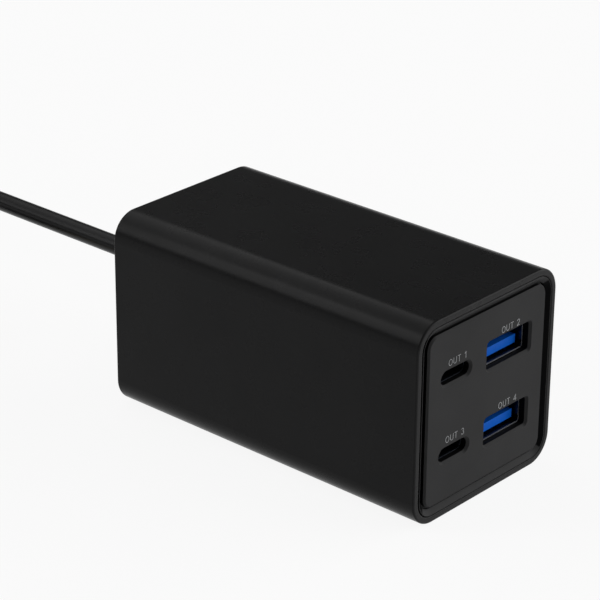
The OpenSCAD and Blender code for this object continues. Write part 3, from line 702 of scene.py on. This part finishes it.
@dataclass
class Tie:
    """Woven band round the coil, with its end folded over on the slope."""

    centre_x: float = -7.9
    coil_y: float = 193
    turns: list[Pair] = field(default_factory=lambda: [
        (18.45, 2.9), (27.3, 2.9), (27.3, 7.1), (26.3, 11.3), (19.1, 15.5), (18.45, 15.5)])
    reach: float = 2.5
    width: float = 7.6
    thickness: float = 0.7
    overlap: float = 6.4

    def outline(self) -> list[Pair]:
        """Draws the band's closed line round the turns.

        Returns:
            Its points, as distance from the coil's axis and height.
        """
        spots = [spot for turn in self.turns
                 for spot in arc(turn, (self.reach, self.reach), 0, 360, 24)[1:]]
        return [spots[k] for k in convex_hull_2d([Vector(spot) for spot in spots])]

    def flap(self) -> list[Pair]:
        """Draws the line of the folded end, which lies on the band's slope.

        Returns:
            Its points, as distance from the coil's axis and height.
        """
        low, high = (Vector(self.turns[k]) for k in (3, 4))
        along = (high - low).normalized()
        out = Vector((along.y, -along.x)) * (self.reach + self.thickness + 0.05)
        start = (low + high) / 2 - along * self.overlap / 2
        return [tuple(start + along * self.overlap * k / 8 + out * (1.08 if k in (0, 8) else 1))
                for k in range(9)]

    def strip(self, shell: Shell, line: list[Pair], closed: bool) -> None:
        """Adds a strip of band along a line to a shell.

        Args:
            shell: The mesh that it goes into.
            line: The strip's middle, as distance from the coil's axis and height.
            closed: Whether the strip runs round to its own start.
        """
        rings = []
        section = rounded_section(self.width, self.thickness, self.thickness * 0.45, 3)
        count = len(line)
        for i, (r, z) in enumerate(line):
            before = line[i - 1] if closed or i else line[i]
            after = line[(i + 1) % count] if closed or i < count - 1 else line[i]
            along = Vector((0, after[0] - before[0], after[1] - before[1])).normalized()
            out = Vector((0, along.z, -along.y))
            middle = Vector((self.centre_x, self.coil_y + r, z))
            rings.append([metres(middle + Vector((x, 0, 0)) + out * y) for x, y in section])
        shell.loft(rings, closed)

    def build(self) -> bpy.types.Object:
        """Builds and dresses the band.

        Returns:
            The new piece.
        """
        shell = Shell()
        self.strip(shell, self.outline(), True)
        self.strip(shell, self.flap(), False)
        made = shell.piece("lead_tie")
        hang(made, BAND.material())
        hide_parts("cord_tie")
        return made


@dataclass
class PlugMoulding:
    """The plug's rubber body: flat front, waist with finger ribs, ribbed tail."""

    x: float = -26.8
    z: float = 7
    front: float = 102
    body: float = 24
    width: float = 22
    height: float = 14
    shoulder: float = 9
    tail_width: float = 15
    corner: float = 4
    ribs: int = 5
    relief: float = 15
    relief_base: float = 4.8
    relief_tip: float = 2.9
    bands: int = 6
    edge: float = 0.9
    groove: float = 0.45
    flattening: float = 0.8
    heel: float = 2
    band_groove: float = 0.5

    def body_sections(self) -> list[tuple[float, float, float, float]]:
        """Lists the body's sections, front to tail.

        Returns:
            The place along it, width, height and corner radius of each.
        """
        edge, quarter = self.edge, (0.4, 0.8, 1.2, math.pi / 2)
        found = [(0.0, self.width - 2 * edge, self.height - 2 * edge, self.corner - edge)]
        found += [(edge * (1 - math.cos(a)), self.width - 2 * edge * (1 - math.sin(a)),
                   self.height - 2 * edge * (1 - math.sin(a)), self.corner) for a in quarter]
        waist = self.body - self.heel - self.shoulder
        steps = self.ribs * 8
        for k in range(steps + 1):
            share = k / steps
            width = self.width + (self.tail_width - self.width) * ease(share)
            groove = self.groove * max(0.0, math.sin(2 * math.pi * self.ribs * share)) ** 0.6
            held = ease(min(share, 1 - share) * 6)
            found.append((self.shoulder + waist * share, width - 2 * groove * held,
                          self.height - self.flattening * ease(share), self.corner))
        end = found[-1]
        found += [(self.body - self.heel * (1 - math.sin(a)), end[1] - 3 * (1 - math.cos(a)),
                   end[2] - 3 * (1 - math.cos(a)), self.corner - 1.5 * (1 - math.cos(a)))
                  for a in quarter]
        return found

    def relief_sections(self) -> list[tuple[float, float, float, float]]:
        """Lists the ribbed tail's sections.

        Returns:
            The place along the plug, width, height and corner radius of each.
        """
        found = []
        steps = self.bands * 10
        for k in range(steps + 1):
            share = k / steps
            radius = self.relief_base + (self.relief_tip - self.relief_base) * share
            radius -= self.band_groove if 5 <= k % 10 < 8 and k < steps - 4 else 0.0
            found.append((self.body + self.relief * share, 2 * radius, 2 * radius,
                          radius * 0.999))
        return found

    def build(self) -> bpy.types.Object:
        """Builds and dresses the plug's body.

        Returns:
            The new piece.
        """
        shell = Shell()
        for sections in (self.body_sections(), self.relief_sections()):
            rings = []
            for along, width, height, radius in sections:
                outline = rounded_section(width, height, min(radius, height / 2 - 0.01))
                rings.append([metres((self.x - x, self.front + along, self.z + z))
                              for x, z in outline])
            shell.loft(rings)
        made = shell.piece("plug_moulding")
        hang(made, PLUG.material())
        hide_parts("plug_body")
        return made


@dataclass
class MainsLead:
    """The lead from the strain relief to its plug, with the coil between."""

    diameter: float = 4.2
    length: float = 1420
    exit: Triple = (0, 59.5, 23.4)
    route: list[Triple] = field(default_factory=lambda: [
        (0, 38, 23.4), (0, 48, 23.4), (0, 60, 23.4), (0, 70, 23.4), (0, 80, 23.4),
        (0, 90, 23.4), (0, 100, 23.4), (0.22, 104, 23.16), (0.83, 108, 22.48),
        (1.79, 112, 21.43), (3.03, 116, 20.07), (4.5, 120, 18.46), (6.14, 124, 16.66),
        (7.89, 128, 14.74), (9.7, 132, 12.75), (11.51, 136, 10.76), (13.26, 140, 8.84),
        (14.9, 144, 7.04), (16.37, 148, 5.43), (17.61, 152, 4.07), (18.57, 156, 3.02),
        (19.18, 160, 2.34), (19.4, 164, 2.1), (19.4, 172, 2.1), (19.4, 183, 2.1),
        (19.4, 193, 2.1)])
    tail: list[Triple] = field(default_factory=lambda: [
        (-26.8, 193, 14.7), (-26.8, 186, 14.7), (-26.8, 178, 14.7), (-26.8, 171, 14.7),
        (-26.8, 167.25, 14.37), (-26.8, 163.5, 13.5), (-26.8, 159.75, 12.26),
        (-26.8, 156, 10.85), (-26.8, 152.25, 9.44), (-26.8, 148.5, 8.2),
        (-26.8, 144.75, 7.33), (-26.8, 141, 7), (-26.8, 133, 7)])
    coil: Coil = field(default_factory=Coil)
    tie: Tie = field(default_factory=Tie)
    plug: PlugMoulding = field(default_factory=PlugMoulding)

    def centreline(self) -> list[Vector]:
        """Returns the whole lead's centreline in millimetres."""
        return through(self.route, 4) + self.coil.points() + through(self.tail, 4)[1:]

    def cable(self) -> bpy.types.Object:
        """Builds and dresses the cable as a round curve.

        Returns:
            The new piece.
        """
        curve = bpy.data.curves.new("mains_lead", "CURVE")
        curve.dimensions = "3D"
        curve.bevel_depth = self.diameter / 2 * MM
        curve.bevel_resolution = 5
        curve.use_fill_caps = True
        line = [metres(p) for p in self.centreline()]
        spline = curve.splines.new("POLY")
        spline.points.add(len(line) - 1)
        for point, place in zip(spline.points, line):
            point.co = (*place, 1)
        spline.use_smooth = True
        made = bpy.data.objects.new("mains_lead", curve)
        bpy.context.scene.collection.objects.link(made)
        hang(made, JACKET.material())
        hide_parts("cord_tube", "cord_coil", "cord_tail")
        return made

    def build(self, nodes: dict[str, bpy.types.Object]) -> None:
        """Args:
            nodes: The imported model's nodes by name.
        """
        cable = self.cable()
        tie = self.tie.build()
        plug = self.plug.build()
        dress(nodes["strain_relief"], RELIEF.material())
        dress(nodes["plug_blades"], BLADE.material())
        LOG.info("mains lead: cable, tie, plug and strain relief")


# Housing and sockets


@dataclass
class Housing:
    """Sleeve, front bezel and rear cover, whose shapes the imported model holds."""

    finishes: dict[str, Moulding] = field(default_factory=lambda: {
        "housing_sleeve": SLEEVE, "front_bezel": BEZEL, "rear_cover": REAR_COVER})

    def build(self, nodes: dict[str, bpy.types.Object]) -> None:
        """Dresses the three pieces.

        Args:
            nodes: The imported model's nodes by name.
        """
        for name, finish in self.finishes.items():
            dress(nodes[name], finish.material())
            LOG.info("housing: %s", name)


class Row(Enum):
    """The two rows of sockets."""

    UPPER = "upper"
    LOWER = "lower"


class SocketKind(Enum):
    """The two kinds of socket, by the name their nodes begin with."""

    WIDE = "wide"
    SLIM = "slim"


@dataclass
class Socket:
    """One socket: shell, tongue and contacts."""

    kind: SocketKind
    row: Row

    def build(self, nodes: dict[str, bpy.types.Object]) -> None:
        """Dresses the socket's pieces.

        Args:
            nodes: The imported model's nodes by name.
        """
        wide = self.kind is SocketKind.WIDE
        for part, finish in (("shell", SHELL_STEEL if wide else DARK_STEEL),
                             ("tongue", BLUE if wide else DARK_TONGUE), ("contacts", GOLD)):
            dress(nodes[f"{self.kind.value}_{part}_{self.row.value}"], finish.material())
        LOG.info("socket: %s %s", self.kind.value, self.row.value)


@dataclass(frozen=True)
class Glyph:
    """A character as strokes, one unit high."""

    width: float
    strokes: tuple[tuple[Pair, ...], ...]


def glyphs() -> dict[str, Glyph]:
    """Draws the characters that the panel uses.

    Returns:
        The glyphs by their characters.
    """
    o = tuple(arc((0.39, 0.5), (0.39, 0.5), 90, 450, 28))
    u = ((0, 1), (0, 0.33), *arc((0.33, 0.33), (0.33, 0.33), 180, 360, 12), (0.66, 1))
    two = (*arc((0.28, 0.72), (0.28, 0.28), 165, -35, 10), (0, 0), (0.58, 0))
    three = (*arc((0.27, 0.75), (0.25, 0.25), 150, -90, 10),)
    bowl = (*arc((0.27, 0.26), (0.29, 0.26), 90, -150, 10),)
    return {
        "O": Glyph(0.78, (o,)),
        "U": Glyph(0.66, (u,)),
        "T": Glyph(0.62, (((0, 1), (0.62, 1)), ((0.31, 1), (0.31, 0)))),
        "1": Glyph(0.3, (((0, 0.8), (0.26, 1), (0.26, 0)),)),
        "2": Glyph(0.58, (two,)),
        "3": Glyph(0.56, (three, bowl)),
        "4": Glyph(0.62, (((0.46, 0), (0.46, 1), (0, 0.28), (0.62, 0.28)),)),
        " ": Glyph(0.3, ()),
    }


@dataclass
class Marking:
    """A few printed characters on the panel, plain words and numbers only."""

    words: str
    x: float
    base: float
    height: float = 1.27
    stroke: float = 0.11
    gap: float = 0.36
    raised: float = 0.02
    sunk: float = 0.02
    sharpest: float = 0.45
    face: float = -40.25

    def ribbon(self, shell: Shell, line: list[Pair]) -> None:
        """Adds one stroke to a shell as a thin raised ribbon.

        Args:
            shell: The mesh that it goes into.
            line: The stroke's middle, in millimetres on the panel.
        """
        half = self.stroke / 2
        closed = (Vector(line[0]) - Vector(line[-1])).length < 1e-6
        points = [Vector(p) for p in (line[:-1] if closed else line)]
        count = len(points)
        if not closed:
            for end, inner in ((0, 1), (-1, -2)):
                points[end] = points[end] + (points[end] - points[inner]).normalized() * half
        rings = []
        for i, here in enumerate(points):
            before = points[i - 1] if closed or i else None
            after = points[(i + 1) % count] if closed or i < count - 1 else None
            ways = [w.normalized() for w in (here - before if before is not None else None,
                                             after - here if after is not None else None)
                    if w is not None]
            way = sum(ways, Vector((0, 0))).normalized()
            side = Vector((-way.y, way.x))
            mitre = half / max(self.sharpest, side.dot(Vector((-ways[0].y, ways[0].x))))
            left, right = here + side * mitre, here - side * mitre
            rings.append([metres((p.x, self.face + d, p.y)) for p, d in (
                (left, self.sunk), (left, -self.raised), (right, -self.raised),
                (right, self.sunk))])
        shell.loft(rings, closed)

    def build(self) -> bpy.types.Object:
        """Builds and dresses the marking.

        Returns:
            The new piece.
        """
        shell, known = Shell(), glyphs()
        total = sum(known[c].width for c in self.words) + self.gap * (len(self.words) - 1)
        pen = self.x - total * self.height / 2
        for letter in self.words:
            for stroke in known[letter].strokes:
                self.ribbon(shell, [(pen + x * self.height, self.base + z * self.height)
                                    for x, z in stroke])
            pen += (known[letter].width + self.gap) * self.height
        made = shell.piece("marking_" + self.words.lower().replace(" ", "_"))
        hang(made, PANEL_INK.material())
        return made


@dataclass
class FrontPanel:
    """The panel with its markings, and the four sockets behind it."""

    markings: list[Marking] = field(default_factory=lambda: [
        Marking("OUT 1", -9.5, 32.25), Marking("OUT 2", 7, 33.45),
        Marking("OUT 3", -9.5, 15.9), Marking("OUT 4", 7, 17.05)])

    def build(self, nodes: dict[str, bpy.types.Object]) -> None:
        """Dresses the panel and its sockets and prints the markings.

        Args:
            nodes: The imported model's nodes by name.
        """
        dress(nodes["socket_panel"], PANEL.material())
        for row in Row:
            for kind in SocketKind:
                Socket(kind, row).build(nodes)
        for marking in self.markings:
            LOG.info("front panel: %s", marking.build().name)


@dataclass
class Electronics:
    """Everything behind the sockets, out of sight inside the housing."""

    def finishes(self) -> list[tuple[Finish, list[str]]]:
        """Sorts the hidden nodes by finish.

        Returns:
            Each finish with the names of the nodes that have it.
        """
        return [
            (BOARD, ["socket_board", "main_board"]),
            (TINNED, ["board_screws", "component_legs"]),
            (GOLD, ["link_pins"]),
            (MOULDED_BLACK, ["board_link", "transformer_bobbin", "bridge_rectifier",
                             "power_transistor"]),
            (FERRITE, ["transformer_core", "choke_core"]),
            (COPPER_WIRE, ["transformer_winding"]),
            (CHOKE_WIRE, ["choke_windings"]),
            (CAP_SLEEVE, ["bulk_capacitors"]),
            (ALUMINIUM, ["output_capacitors", "heat_spreader"]),
            (FILM_BOX, ["film_capacitor"]),
            (FUSE_BODY, ["fuse"]),
            (INSULATION, ["insulating_film"]),
            (WIRE_SKIN, ["inner_leads"]),
        ]

    def build(self, nodes: dict[str, bpy.types.Object]) -> None:
        """Dresses the hidden pieces.

        Args:
            nodes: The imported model's nodes by name.
        """
        for finish, names in self.finishes():
            material = finish.material()
            for name in names:
                dress(nodes[name], material)
                LOG.info("electronics: %s", name)


# Studio


@dataclass(frozen=True)
class Viewpoint:
    """The camera: where it stands, what it looks at and its lens."""

    azimuth: float = -48.451
    elevation: float = 24.584
    roll: float = 0.48
    distance: float = 510.8
    aim: Triple = (0, 0, 21.5)
    aside: float = -6.053
    above: float = 7.229
    lens: float = 150.6

    def build(self) -> bpy.types.Object:
        """Makes the camera the scene's own.

        Returns:
            The camera.
        """
        az, el, roll = map(math.radians, (self.azimuth, self.elevation, self.roll))
        back = Vector((math.sin(az) * math.cos(el), -math.cos(az) * math.cos(el),
                       math.sin(el)))
        right = Vector((0, 0, 1)).cross(back).normalized()
        up = back.cross(right)
        right, up = (right * math.cos(roll) + up * math.sin(roll),
                     up * math.cos(roll) - right * math.sin(roll))
        place = metres(Vector(self.aim) + right * self.aside + up * self.above
                       + back * self.distance)
        data = bpy.data.cameras.new("camera")
        data.lens, data.sensor_width = self.lens, 36
        data.clip_start, data.clip_end = 0.01, 50
        camera = bpy.data.objects.new("camera", data)
        turn = Matrix((right, up, back)).transposed().to_4x4()
        camera.matrix_world = Matrix.Translation(place) @ turn
        bpy.context.scene.collection.objects.link(camera)
        bpy.context.scene.camera = camera
        return camera


@dataclass(frozen=True)
class Softbox:
    """A rectangular lamp that faces a point on the object."""

    name: str
    place: Triple
    width: float
    height: float
    power: float
    aim: Triple = (0, 0, 20)

    def build(self) -> None:
        """Hangs the lamp."""
        data = bpy.data.lights.new(self.name, "AREA")
        data.shape, data.size, data.size_y = "RECTANGLE", self.width * MM, self.height * MM
        data.energy = self.power
        lamp = bpy.data.objects.new(self.name, data)
        lamp.location = metres(self.place)
        way = metres(self.aim) - lamp.location
        lamp.rotation_euler = way.to_track_quat("-Z", "Y").to_euler()
        bpy.context.scene.collection.objects.link(lamp)


@dataclass
class Studio:
    """Pale floor, pale surroundings and soft lamps.

    The fade's two values are heights on a sphere of radius 1 round the scene.
    """

    floor_half: float = 12000
    floor_drop: float = 0.05
    floor_color: Triple = (0.86, 0.86, 0.86)
    floor_glow: float = 0.9
    horizon: float = 1.0
    sky: float = 0.1
    fade: Pair = (0.02, 0.17)
    lamps: list[Softbox] = field(default_factory=lambda: [
        Softbox("key", (1350, -1150, 850), 2200, 1500, 30),
        Softbox("edge high", (0, 1150, 1386), 2400, 600, 7.6),
        Softbox("edge low", (-1220, 1100, 1000), 700, 1000, 7.4),
        Softbox("top", (0, 0, 1900), 1500, 1500, 4)])

    def floor(self) -> None:
        """Lays the floor. It shows white to the camera and in reflections, with the shadow
        left on it."""
        half = self.floor_half
        corners = ((-half, -half), (half, -half), (half, half), (-half, half))
        shell = Shell([metres((x, y, -self.floor_drop)) for x, y in corners], [(0, 1, 2, 3)])
        plane = shell.piece("studio_floor")
        bench = Bench("studio floor", self.floor_color, 0.9, Specular_IOR_Level=0.0)
        nodes = bench.tree.nodes
        seen = nodes.new("ShaderNodeLightPath")
        glow = nodes.new("ShaderNodeEmission")
        mix = nodes.new("ShaderNodeMixShader")
        total = seen.outputs["Is Camera Ray"]
        for way in ("Is Glossy Ray", "Is Transmission Ray"):
            adder = nodes.new("ShaderNodeMath")
            adder.operation = "MAXIMUM"
            bench.join(total, adder.inputs[0])
            bench.join(seen.outputs[way], adder.inputs[1])
            total = adder.outputs["Value"]
        share = nodes.new("ShaderNodeMath")
        share.operation = "MULTIPLY"
        share.inputs[1].default_value = self.floor_glow
        bench.join(total, share.inputs[0])
        bench.join(share.outputs["Value"], mix.inputs["Fac"])
        bench.join(bench.shader.outputs["BSDF"], mix.inputs[1])
        bench.join(glow.outputs["Emission"], mix.inputs[2])
        bench.join(mix.outputs["Shader"], nodes["Material Output"].inputs["Surface"])
        dress(plane, bench.material)

    def surroundings(self) -> None:
        """Makes the world: white up to a little above the horizon, dim higher up."""
        world = bpy.data.worlds.new("studio")
        world.use_nodes = True
        bpy.context.scene.world = world
        nodes, links = world.node_tree.nodes, world.node_tree.links
        place = nodes.new("ShaderNodeTexCoord")
        split = nodes.new("ShaderNodeSeparateXYZ")
        fade = nodes.new("ShaderNodeMapRange")
        fade.interpolation_type = "SMOOTHSTEP"
        fade.inputs["From Min"].default_value, fade.inputs["From Max"].default_value = self.fade
        fade.inputs["To Min"].default_value = self.horizon
        fade.inputs["To Max"].default_value = self.sky
        links.new(place.outputs["Generated"], split.inputs["Vector"])
        links.new(split.outputs["Z"], fade.inputs["Value"])
        links.new(fade.outputs["Result"], nodes["Background"].inputs["Strength"])
        nodes["Background"].inputs["Color"].default_value = (1, 1, 1, 1)

    def build(self) -> None:
        """Sets up the floor, the surroundings, the lamps and the colour handling."""
        bpy.context.scene.view_settings.view_transform = "Standard"
        self.floor()
        self.surroundings()
        for lamp in self.lamps:
            lamp.build()
        LOG.info("studio: floor and %d lamps", len(self.lamps))


def main() -> None:
    """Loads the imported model, then builds and dresses everything over it."""
    logging.basicConfig(level=logging.INFO, format="%(name)s: %(message)s")
    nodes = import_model()["nodes"]
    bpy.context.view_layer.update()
    Viewpoint().build()
    MainsLead().build(nodes)
    Housing().build(nodes)
    FrontPanel().build(nodes)
    Electronics().build(nodes)
    Studio().build()
    bpy.context.view_layer.update()


if __name__ == "__main__":
    main()
